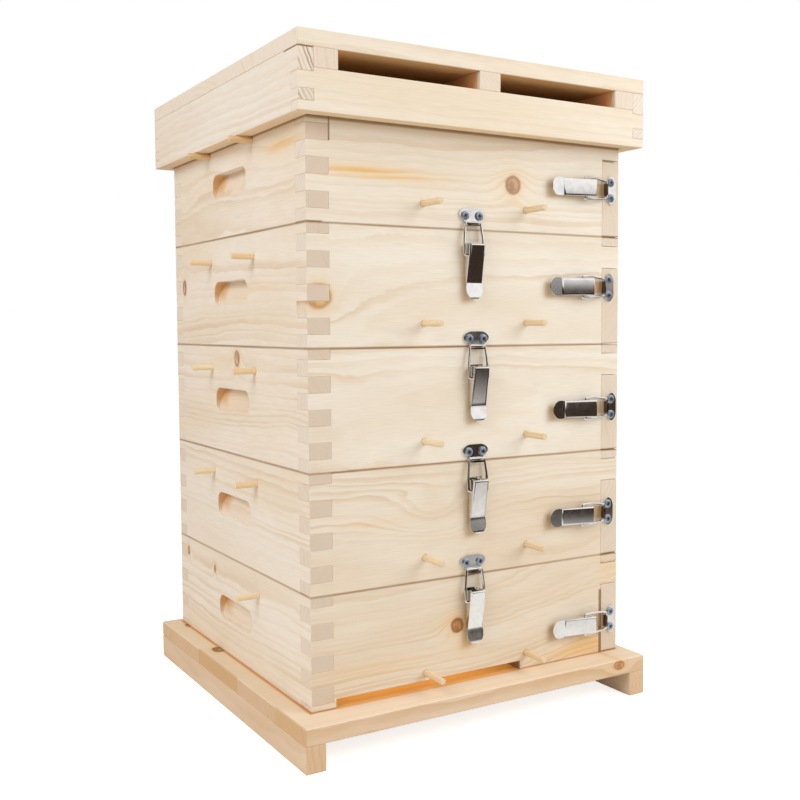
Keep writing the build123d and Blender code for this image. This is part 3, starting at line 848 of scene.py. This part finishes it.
def new_object(name, data):
    """An object in the scene, at the origin and unturned."""
    made = bpy.data.objects.new(name, data)
    bpy.context.scene.collection.objects.link(made)
    return made


def show(name, bm, material, body, replaced=()):
    """A finished piece: its mesh in place, its material, and the body that carries it."""
    mesh = new_mesh(name, bm)
    mesh.shade_smooth()
    mesh.set_sharp_from_angle(angle=radians(SMOOTH_WITHIN))
    mesh.materials.append(material)
    piece = new_object(name, mesh)
    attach(piece, body)
    if replaced:
        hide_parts(*replaced)
    return piece


def thicken(piece):
    """Sheet thickness inwards from the modelled face, with its cut edges dulled."""
    solid = piece.modifiers.new("sheet", "SOLIDIFY")
    solid.thickness = SHEET * MM
    solid.offset = -1
    round_edges(piece, "dulled_edges", EDGE_DULLING, DULLED_FROM).harden_normals = True


def edges_at(bm, test):
    """Edges with both ends where the test holds."""
    return [edge for edge in bm.edges if all(test(vert.co) for vert in edge.verts)]


def lever_sheet():
    """The pressed lever: a channel with a rolled nose, and a flared half-round tab with a curled end."""
    top = WEB_LIFT + SHEET
    low = FLANGE_R * sin(radians(45))
    outline = ((FLANGE_R, WEB_LIFT - NOSE_ROLL), (FLANGE_R, top), (-WEB_LENGTH, top),
               (-WEB_LENGTH, WEB_LIFT - HEEL), (-LINK_ARM, -FLANGE_BELLY), (0, -FLANGE_R), (low, -low),
               (FLANGE_R, 0))
    bm = bmesh.new()
    corners = [bm.verts.new((x, y, -LEVER_HALF)) for x, y in outline]
    bm.faces.new(corners)
    bmesh.ops.bevel(bm, geom=corners[4:], affect="VERTICES", offset=FLANGE_ROUNDING, segments=3, profile=0.5,
                    material=-1)
    pull(bm, bm.faces[:], (0, 0, 2 * LEVER_HALF))
    face_out(bm)
    open_faces = [face for face in bm.faces
                  if abs(face.normal.z) < 0.5 and face.calc_center_median().y < OPEN_BELOW]
    open_faces += [face for face in bm.faces if face.normal.x < -0.9]
    bmesh.ops.delete(bm, geom=open_faces, context="FACES")
    edge = edges_at(bm, lambda at: abs(at.x + WEB_LENGTH) < TOUCH and abs(at.y - top) < TOUCH)
    flare = radians(TAB_FLARE)
    straight = TAB_LENGTH - TAB_HALF
    stations = [(straight / 2, TAB_HALF), (straight, TAB_HALF)]
    for i in range(1, TAB_STEPS + 1):
        turn = radians(TAB_END_TURN) * i / TAB_STEPS
        stations.append((straight + TAB_HALF * sin(turn), TAB_HALF * cos(turn)))
    reached, half = 0.0, LEVER_HALF
    for distance, width in stations:
        verts, edge = extend(bm, edge)
        move = distance - reached
        curled = max(0.0, (distance + reached) / 2 - TAB_LENGTH + TAB_CURL_LENGTH) / TAB_CURL_LENGTH
        rise = flare - radians(TAB_CURL) * curled
        bmesh.ops.translate(bm, vec=(-move * cos(rise), move * sin(rise), 0), verts=verts)
        bmesh.ops.scale(bm, vec=(1, 1, width / half), verts=verts)
        reached, half = distance, width
    folds = edges_at(bm, lambda at: abs(at.y - top) < TOUCH and at.x > -WEB_LENGTH - TOUCH)
    bmesh.ops.bevel(bm, geom=folds, affect="EDGES", offset=PRESSED_BEND, segments=4, profile=0.5, material=-1)
    face_sheet(bm, 1)
    bm.transform(Matrix.Translation((0, PIVOT_RISE, 0)) @ rotation(LEVER_TILT, "Z"))
    return bm


def bail_wire():
    """The bent wire loop, from one end in the lever round the bar to the other end."""
    link = Vector((-LINK_ARM * cos(radians(LEVER_TILT)),
                   PIVOT_RISE - LINK_ARM * sin(radians(LEVER_TILT)), 0))
    bar = Vector((BAR_FROM_PIVOT, BAR_RISE, 0))
    length = (bar - link).length
    lean = (BAIL_WIDE - BAIL_NARROW) * BAIL_BEND / (length - BAIL_STRAIGHT)
    side = [(0, BAIL_END), (0, BAIL_WIDE - BAIL_BEND), (0, BAIL_WIDE), (BAIL_BEND, BAIL_WIDE),
            (BAIL_STRAIGHT - BAIL_BEND, BAIL_WIDE), (BAIL_STRAIGHT, BAIL_WIDE),
            (length - BAIL_BEND, BAIL_NARROW + lean), (length, BAIL_NARROW),
            (length, BAIL_NARROW - BAIL_BEND)]
    points = side + [(x, -z) for x, z in reversed(side)]
    curve = bpy.data.curves.new("bail", "CURVE")
    curve.dimensions = "3D"
    spline = curve.splines.new("NURBS")
    spline.points.add(len(points) - 1)
    for point, (x, z) in zip(spline.points, points):
        point.co = (x, 0, z, 1)
    spline.order_u = 3
    spline.use_endpoint_u = True
    spline.resolution_u = 5
    curve.bevel_depth = WIRE_R
    curve.bevel_resolution = 3
    curve.use_fill_caps = True
    holder = bpy.data.objects.new("bail", curve)
    mesh = bpy.data.meshes.new_from_object(holder)
    bm = bmesh.new()
    bm.from_mesh(mesh)
    bmesh.ops.remove_doubles(bm, verts=bm.verts, dist=WIRE_TOUCH)
    face_out(bm)
    bpy.data.objects.remove(holder)
    bpy.data.curves.remove(curve)
    bpy.data.meshes.remove(mesh)
    slope = atan2(bar.y - link.y, bar.x - link.x)
    bm.transform(Matrix.Translation(link) @ Matrix.Rotation(slope, 4, "Z"))
    return bm


def hook_sheet():
    """The catch plate: a rounded triangle with its neck bent up into a lip."""
    neck = (LIP_FROM_PIVOT + LIP_BEND, LIP_HALF)
    half = (neck,) + PLATE_OUTLINE
    points = half + tuple((x, -z) for x, z in reversed(half))
    bm = plate(points, 0, PLATE_ROUNDING, range(1, len(points) - 1), segments=6)
    edge = edges_at(bm, lambda at: abs(at.x - neck[0]) < TOUCH)
    bend = bmesh.ops.spin(bm, geom=edge + list(edge[0].verts), cent=(neck[0], LIP_BEND, 0), axis=(0, 0, 1),
                          angle=radians(-90), steps=5)["geom_last"]
    tip = extend(bm, only(bmesh.types.BMEdge, bend))[0]
    bmesh.ops.translate(bm, vec=(0, LIP_HEIGHT - LIP_BEND, 0), verts=tip)
    bmesh.ops.bevel(bm, geom=tip, affect="VERTICES", offset=LIP_CORNER, segments=4, profile=0.5, material=-1)
    bmesh.ops.remove_doubles(bm, verts=bm.verts, dist=TOUCH / 10)
    face_sheet(bm, -1)
    return bm


def base_sheet():
    """The base plate under a lever, with its two ears, cut back where the lever's nose swings past."""
    outline = ((-BASE_TAIL, -EAR_OUT), (-BASE_TAIL, EAR_OUT), (BASE_NOSE, EAR_OUT), (BASE_NOSE, -EAR_OUT))
    parts = [(plate(outline, SHEET, BASE_ROUNDING, (0, 1)), Matrix.Identity(4))]
    ear = ((-EAR_R, 0), (EAR_FOOT, 0), (EAR_FOOT, PIVOT_RISE + EAR_CUT[0]), (EAR_R, PIVOT_RISE + EAR_CUT[1]),
           (EAR_R, PIVOT_RISE + EAR_R), (-EAR_R, PIVOT_RISE + EAR_R))
    stand = rotation(-90, "X")
    for low in (-EAR_OUT, EAR_OUT - SHEET):
        upright = plate(ear, SHEET, EAR_ROUNDING, (4, 5), segments=6)
        parts.append((upright, Matrix.Translation((0, 0, low + SHEET)) @ stand))
    return join(parts)


def cross_screw():
    """A pan-head screw with a cross recess, its head rising along y from 0."""
    bm = bmesh.new()
    quarter = ((CROSS_REACH, -CROSS_HALF), (CROSS_REACH, CROSS_HALF), (CROSS_HALF, CROSS_HALF))
    star = []
    for turn in range(4):
        star += [Matrix.Rotation(radians(90 * turn), 2) @ Vector(point) for point in quarter]
    cross = bm.faces.new([bm.verts.new((point.x, point.y, SCREW_HEAD_H)) for point in star])
    floor = pull(bm, [cross], (0, 0, -CROSS_DEPTH))
    bmesh.ops.delete(bm, geom=[cross], context="FACES_ONLY")
    bmesh.ops.scale(bm, vec=(CROSS_TAPER, CROSS_TAPER, 1), verts=floor)
    rim = [edge for edge in bm.edges if edge.is_boundary]
    crown = SCREW_HEAD_R * CROWN_SHARE
    bmesh.ops.create_circle(bm, segments=SCREW_SIDES, radius=crown,
                            matrix=Matrix.Translation((0, 0, SCREW_HEAD_H)))
    outer = [edge for edge in bm.edges if edge.is_wire]
    bmesh.ops.bridge_loops(bm, edges=rim + outer)
    edges = [edge for edge in bm.edges if edge.is_boundary]
    stations = [(SCREW_HEAD_H - drop, SCREW_HEAD_R * share) for drop, share in SCREW_HEAD_STEPS]
    edges = draw_round(bm, edges, (SCREW_HEAD_H, crown), stations)
    bmesh.ops.edgeloop_fill(bm, edges=edges)
    face_out(bm)
    bm.transform(rotation(-90, "X"))
    return bm


def rivet():
    """The lever's pivot, with a low domed head outside each flange."""
    half = [(-LEVER_HALF - RIVET_DOME * rise, RIVET_HEAD_R * share) for rise, share in RIVET_HEAD_STEPS]
    half.append((-LEVER_HALF, RIVET_R))
    return turned(half, 0, RIVET_SIDES)


def latch_places():
    """Each latch's own frame, on the wall under its lever's pivot."""
    places = {}
    out = Vector((0, -1, 0))
    for joint in frame["joints"]:
        if joint["name"].endswith("_lever_swing"):
            across = -Vector(joint["axis"])
            axes = Matrix((out.cross(across), out, across)).transposed().to_4x4()
            foot = Vector(joint["pos_m"]) - out * PIVOT_RISE * MM
            places[joint["child"][:-len("_lever")]] = Matrix.Translation(foot) @ axes @ Matrix.Scale(MM, 4)
    return places


def make_latches():
    """Nine latches: levers and bails move, the plates, screws and rivets stay on the walls."""
    bases, hooks, fasteners, rivets = [], [], [], []
    for index, (name, place) in enumerate(latch_places().items()):
        for part, form, shape in (("_lever", "_sheet", lever_sheet()), ("_bail", "_wire", bail_wire())):
            shape.transform(place)
            piece = show(name + part + form, shape, nickel, name + part, [name + part])
            if form == "_sheet":
                thicken(piece)
        bases.append((base_sheet(), place))
        hooks.append((hook_sheet(), place))
        rivets.append((rivet(), place))
        for number, (x, z) in enumerate(BASE_SCREWS + HOOK_SCREWS):
            turn = rotation(LATCH_SCREW_TURN[0] * index + LATCH_SCREW_TURN[1] * number, "Y")
            fasteners.append((cross_screw(), place @ Matrix.Translation((x, SHEET, z)) @ turn))
    show("latch_base_sheets", join(bases), nickel, "hive", ["latch_base_plates"])
    hook = show("latch_hook_sheets", join(hooks), hook_nickel, "hive", ["latch_hook_plates"])
    thicken(hook)
    show("latch_screws", join(fasteners), zinc, "hive", ["latch_fasteners"])
    show("latch_rivets", join(rivets), nickel, "hive")


def dowel(length):
    """A comb dowel with sanded ends, along z from 0."""
    soft = DOWEL_ROUNDING
    near = [(0, DOWEL_R - soft), (soft * 0.3, DOWEL_R - soft * 0.3), (soft, DOWEL_R)]
    return turned(near, length, DOWEL_SIDES)


def make_dowels():
    """Two dowels through the front and two through the left wall of each box."""
    for box in range(1, 6):
        for side, turn in (("front", rotation(-90, "X")), ("side", rotation(90, "Y"))):
            node = f"box_{box}_{side}_dowels"
            low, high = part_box(node)
            middle = (low + high) / 2
            flush_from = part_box(f"box_{box}_left_wall")[0].x if node == "box_5_side_dowels" else low.x
            parts = []
            for aside in (-DOWEL_HALF_SPACING * MM, DOWEL_HALF_SPACING * MM):
                start = Vector((middle.x + aside, low.y, middle.z))
                length = high.y - low.y
                if side == "side":
                    start = Vector((flush_from if aside > 0 else low.x, middle.y + aside, middle.z))
                    length = high.x - start.x
                parts.append((dowel(length / MM), Matrix.Translation(start) @ turn @ Matrix.Scale(MM, 4)))
            # box 1's side dowels under the roof take the dowel wood with painted shade
            wood = dowel_woods["shaded" if node == "box_1_side_dowels" else side]
            show(node + "_turned", join(parts), wood, node, [node])


def hinge_leaf():
    """One leaf in the x and z plane, from the barrel outwards, with rounded outer corners."""
    tall = HINGE_HEIGHT / 2
    outline = ((0, -tall), (HINGE_LEAF, -tall), (HINGE_LEAF, tall), (0, tall))
    return plate(outline, SHEET, HINGE_CORNER, (1, 2))


def knuckle(low, high):
    """A barrel knuckle with softened rims, along z."""
    rim = [(low, HINGE_BARREL_R - KNUCKLE_ROUNDING), (low + KNUCKLE_ROUNDING, HINGE_BARREL_R)]
    return turned(rim, low + high, KNUCKLE_SIDES)


def make_hinges():
    """A butt hinge behind each door, with its screws."""
    low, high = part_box("door_hinges")
    axis_x = (low.x + high.x) / 2
    smaller = HINGE_SCREW_R / SCREW_HEAD_R
    flat = Matrix.Diagonal((smaller, HINGE_SCREW_FLAT, smaller, 1))
    plates, screws = [], []
    for box in range(1, 6):
        low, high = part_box(f"box_{box}_back_wall")
        seat = Vector((axis_x, high.y, (low.z + high.z) / 2))
        place = Matrix.Translation(seat) @ Matrix.Scale(MM, 4)
        plates.append((hinge_leaf(), place))
        plates.append((hinge_leaf(), place @ rotation(180, "Z") @ Matrix.Translation((0, -SHEET, 0))))
        barrel = place @ Matrix.Translation((0, HINGE_BARREL_R, 0))
        third = HINGE_HEIGHT / 3
        for i in range(3):
            start = -HINGE_HEIGHT / 2 + i * third
            plates.append((knuckle(start + KNUCKLE_GAP / 2, start + third - KNUCKLE_GAP / 2), barrel))
        pin = [(-HINGE_HEIGHT / 2 - PIN_TIP, PIN_TIP_R), (-HINGE_HEIGHT / 2, HINGE_PIN_R)]
        plates.append((turned(pin, 0, PIN_SIDES), barrel))
        for number, (way, rise) in enumerate(((-1, 1), (-1, -1), (1, 1), (1, -1))):
            hole = Matrix.Translation((way * HINGE_SCREW_OUT, SHEET, rise * HINGE_SCREW_RISE))
            turn = rotation(HINGE_SCREW_TURN[0] * box + HINGE_SCREW_TURN[1] * number, "Y")
            screws.append((cross_screw(), place @ hole @ turn @ flat))
    show("door_hinge_leaves", join(plates), hinge_steel, "hive", ["door_hinges"])
    show("door_hinge_screws", join(screws), zinc, "hive")


def place_camera():
    """The photograph's viewpoint: front left, a little above the middle of the hive."""
    data = bpy.data.cameras.new("camera")
    camera = new_object("camera", data)
    turn = Euler((radians(90 - CAMERA_DOWN), 0, radians(-CAMERA_AZIMUTH))).to_matrix()
    roll = Matrix.Rotation(radians(CAMERA_ROLL), 3, "Z")
    camera.matrix_world = Matrix.Translation(CAMERA_PLACE) @ (turn @ roll).to_4x4()
    data.sensor_width = 36
    data.lens = FOCAL_PX / FRAME_PX * data.sensor_width
    data.shift_x = (FRAME_PX / 2 - CENTRE_PX[0]) / FRAME_PX
    data.shift_y = (CENTRE_PX[1] - FRAME_PX / 2) / FRAME_PX
    bpy.context.scene.camera = camera


def lay_floor():
    """A pale studio floor: white to the camera, bright near the hive and dim further off in reflections."""
    bm = bmesh.new()
    bmesh.ops.create_circle(bm, cap_ends=True, segments=FLOOR_SIDES, radius=FLOOR_R)
    mesh = new_mesh("studio_floor", bm)
    new_object("studio_floor", mesh)
    material, tree, shader = new_material("studio_floor")
    tree.nodes.remove(shader)
    rays = add("LightPath", tree=tree)
    paper = add("BsdfDiffuse", {"Color": PAPER}, tree)[0]
    glow = add("Emission", {"Color": WHITE, "Strength": FLOOR_GLOW}, tree)[0]
    seen = add("AddShader", {0: paper, 1: glow})[0]
    place = add("TexCoord", tree=tree)["Object"]
    away = vector_calc("LENGTH", vector_calc("MULTIPLY", place, (1, 1, 0)), output="Value")
    pool = mix(step(away, *BRIGHT_POOL), POOL_WHITE, DIM_ROOM)
    mirrored = add("Emission", {"Color": pool})[0]
    shown = add("MixShader", {0: rays["Is Camera Ray"], 1: paper, 2: seen})[0]
    shown = add("MixShader", {0: rays["Is Glossy Ray"], 1: shown, 2: mirrored})[0]
    tree.links.new(shown, tree.nodes["Material Output"].inputs[0])
    mesh.materials.append(material)


def light_studio():
    """A white surround, soft lamps at the upper right and left, and a small warm one behind the entrance."""
    world = bpy.data.worlds.new("studio")
    bpy.context.scene.world = world
    world.use_nodes = True
    tree = world.node_tree
    rays = add("LightPath", tree=tree)
    split = add("SeparateXYZ", {"Vector": add("TexCoord", tree=tree)["Generated"]})
    room = mix(step(split["Z"], *ROOM_LIGHT_UP), DIM_ROOM, WHITE)
    room = mix(step(split["X"], *ROOM_LIGHT_RIGHT), DIM_ROOM, room)
    ambient = mix(rays["Is Glossy Ray"], AMBIENT, room)
    shown = mix(rays["Is Camera Ray"], ambient, WHITE)
    tree.links.new(shown, tree.nodes["Background"].inputs["Color"])
    for name, lamp in LAMPS.items():
        soft_light(name, *lamp)


def soft_light(name, place, aim, size, power, colour):
    """A soft box, wide and tall as given, that points at a place."""
    data = bpy.data.lights.new(name, "AREA")
    data.shape = "RECTANGLE"
    data.size, data.size_y = size
    data.energy = power
    data.color = colour
    lamp = new_object(name, data)
    lamp.location = place
    lamp.rotation_euler = (Vector(aim) - Vector(place)).to_track_quat("-Z", "Y").to_euler()
    lamp.visible_camera = False
    lamp.visible_glossy = False


nickel = plated("nickel_plate", NICKEL, 0.14)
# the hooks' lips carry a painted dark reflection
hook_nickel = plated("hook_nickel", NICKEL, 0.14, bright_depth=2.0)
zinc = plated("blue_zinc", ZINC, 0.48)
hinge_steel = plated("hinge_steel", STEEL, 0.3)
dowel_woods = {}
for side, lay, look, seed in (("front", ALONG_Y, FRONT_DOWEL, 41.0), ("side", ALONG_X, LIT_SIDE_DOWEL, 43.0),
                              ("shaded", ALONG_X, SHADED_DOWEL, 44.0)):
    dowel_woods[side] = pine(side + "_dowel_wood", lay, Vector(), look, DOWEL_PITH, seed, DOWEL_RING)
dress_hive()
dress_roof_and_floor()
make_latches()
make_dowels()
make_hinges()
place_camera()
lay_floor()
light_studio()
bpy.context.scene.view_settings.view_transform = "Standard"
